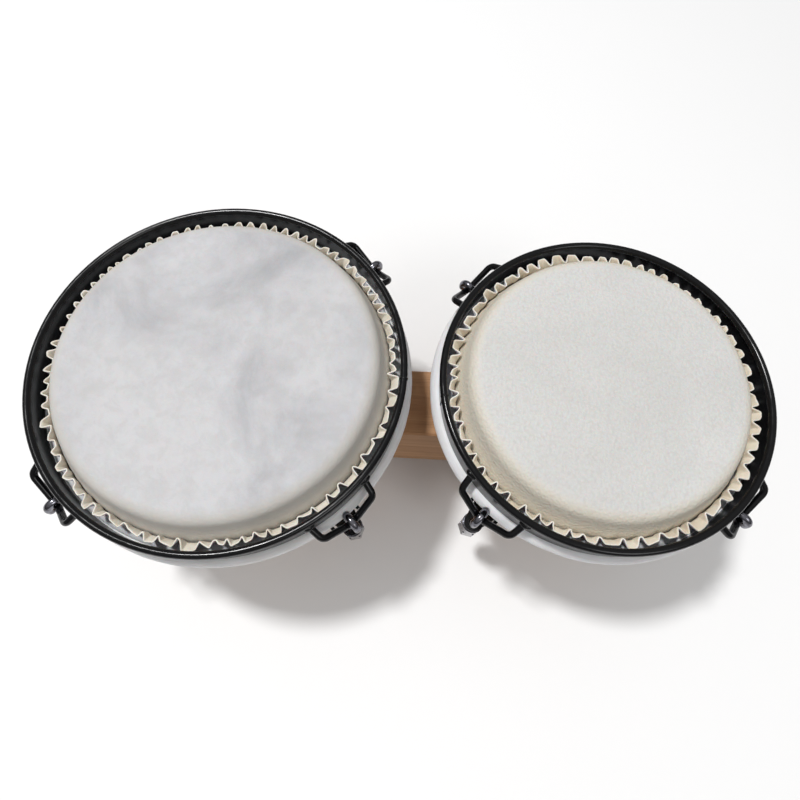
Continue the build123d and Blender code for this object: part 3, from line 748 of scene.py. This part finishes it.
def welds(drum):
    """Beads where the ears meet the band."""
    parts = []
    spread = atan2(EAR_ROOT_HALF, sqrt(drum.crown_r**2 - EAR_ROOT_HALF**2))
    for number, azimuth in enumerate(drum.azimuths()):
        for side in (-1, 1):
            angle = azimuth + side * spread
            height = drum.wire_z - EAR_ROOT_DROP - WELD_DROP
            centre = drum.point(drum.crown_r + WELD_OUT, angle, height)
            parts.append(blob(WELD_SIZE, drum.seed + 3 * number + side, centre, axes_at(angle)))
    joined(f"{drum.name}_ear_welds", parts, CROWN_PAINT, drum.crown)


def rim_seam(drum):
    """Where the ends of the wire and of the band are welded together."""
    angle = radians(SEAM_AZIMUTH[drum.name])
    axes = axes_at(angle)
    wire = drum.point(drum.crown_r, angle, drum.wire_z)
    collar = drum.wire_r + 0.4 * MM
    parts = [blob((collar, 1.5 * MM, collar), drum.seed, wire, axes)]
    height = drum.wire_z - drum.band_bottom
    for k in range(SEAM_BEADS):
        z = drum.band_bottom + 1.5 * MM + (height - 4 * MM) * k / (SEAM_BEADS - 1)
        centre = drum.point(drum.crown_r + 0.4 * MM, angle + 0.002 * (k % 2), z)
        parts.append(blob((1.1 * MM, 1.2 * MM, 1.5 * MM), drum.seed + k, centre, axes))
    joined(f"{drum.name}_rim_seam", parts, CROWN_PAINT, drum.crown)


THREAD_PITCH = 0.8 * MM
THREAD_ROOT = 2.42 * MM                 # radii
THREAD_TIP = 2.78 * MM
THREAD_STEPS = 20                       # in one turn
RIDGE_HALF = 0.42                       # half of the ridge's width, as a share of the pitch
# a thread starts above the hook's end and stops below the nut; the other is above the bracket
END_CLEAR, NUT_CLEAR, BRACKET_CLEAR = 0.8 * MM, 2.4 * MM, 3.6 * MM
THREAD_ABOVE = 17 * MM                  # its top, from the bracket's top


def thread(axis_x, axis_y, low, high):
    """A screw thread's ridge round an upright rod."""
    turns = (high - low) / THREAD_PITCH
    steps = int(turns * THREAD_STEPS)
    points, faces = [], []
    for k in range(steps + 1):
        angle = tau * k / THREAD_STEPS
        fade = min(1.0, k / THREAD_STEPS, (steps - k) / THREAD_STEPS)
        z = low + THREAD_PITCH * k / THREAD_STEPS
        tip = THREAD_ROOT + (THREAD_TIP - THREAD_ROOT) * fade
        for reach, rise in ((THREAD_ROOT, -RIDGE_HALF), (tip, 0.0), (THREAD_ROOT, RIDGE_HALF)):
            x, y = axis_x + reach * cos(angle), axis_y + reach * sin(angle)
            points.append(Vector((x, y, z + rise * THREAD_PITCH)))
    for k in range(steps):
        a, b = 3 * k, 3 * k + 3
        faces += [(a, b, b + 1, a + 1), (a + 1, b + 1, b + 2, a + 2), (a + 2, b + 2, b, a)]
    faces += [(0, 1, 2), (3 * steps + 2, 3 * steps + 1, 3 * steps)]
    return points, faces


def threads(drum):
    """The threads cut on the hooks, where they show below the nuts and above the brackets."""
    hook_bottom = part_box(f"{drum.name}_tuning_hooks")[0].z
    nut_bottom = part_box(f"{drum.name}_tuning_nut_1")[0].z
    bracket_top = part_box(f"{drum.name}_brackets")[1].z
    parts = []
    for azimuth in drum.azimuths():
        rod = drum.point(drum.rod_r, azimuth, 0)
        parts.append(thread(rod.x, rod.y, hook_bottom + END_CLEAR, nut_bottom - NUT_CLEAR))
        parts.append(thread(rod.x, rod.y, bracket_top + BRACKET_CLEAR, bracket_top + THREAD_ABOVE))
    joined(f"{drum.name}_hook_threads", parts, PLATING, drum.crown)


# ---- scene --------------------------------------------------------------------------------

def floor():
    bpy.ops.mesh.primitive_plane_add(size=FLOOR_SIZE)
    plane = bpy.context.object
    plane.name = "floor"
    n = Nodes("pale_floor")
    colour = n.mix(n.noise(3.0), (0.86, 0.86, 0.86), (0.89, 0.89, 0.89))
    plane.data.materials.append(n.finish(colour, 0.7))


def area_light(name, place, size, power):
    data = bpy.data.lights.new(name, "AREA")
    data.shape = "DISK"
    data.size = size
    data.energy = power
    lamp = bpy.data.objects.new(name, data)
    lamp.location = place
    lamp.rotation_euler = (Vector(LIGHTS_AIM) - Vector(place)).to_track_quat("-Z", "Y").to_euler()
    bpy.context.scene.collection.objects.link(lamp)


def lights():
    """A white studio, brighter overhead than at the horizon, with two soft lamps."""
    world = bpy.data.worlds.new("studio")
    world.use_nodes = True
    tree = world.node_tree
    background = tree.nodes["Background"]
    background.inputs["Color"].default_value = (1.0, 1.0, 1.0, 1.0)
    direction = tree.nodes.new("ShaderNodeTexCoord")
    split = tree.nodes.new("ShaderNodeSeparateXYZ")
    ceiling = tree.nodes.new("ShaderNodeMapRange")
    tree.links.new(direction.outputs["Generated"], split.inputs[0])
    tree.links.new(split.outputs["Z"], ceiling.inputs["Value"])
    ceiling.inputs["From Min"].default_value = HORIZON_Z
    ceiling.inputs["From Max"].default_value = OVERHEAD_Z
    ceiling.inputs["To Min"].default_value = HORIZON_SHARE * WORLD_STRENGTH
    ceiling.inputs["To Max"].default_value = WORLD_STRENGTH
    tree.links.new(ceiling.outputs["Result"], background.inputs["Strength"])
    bpy.context.scene.world = world
    area_light("key", KEY_PLACE, KEY_SIZE, KEY_POWER)
    area_light("fill", FILL_PLACE, FILL_SIZE, FILL_POWER)


def camera():
    data = bpy.data.cameras.new("camera")
    data.lens = CAMERA_LENS
    data.sensor_width = SENSOR_WIDTH
    data.clip_start = 0.01
    made = bpy.data.objects.new("camera", data)
    made.location = CAMERA_PLACE
    made.rotation_euler = Euler([radians(a) for a in CAMERA_TURN], "XYZ")
    bpy.context.scene.collection.objects.link(made)
    bpy.context.scene.camera = made


paint_nodes()
for each in DRUMS:
    head(each)
    fold(each)
    frill(each)
    welds(each)
    rim_seam(each)
    threads(each)
floor()
lights()
camera()
bpy.context.scene.view_settings.view_transform = "Standard"
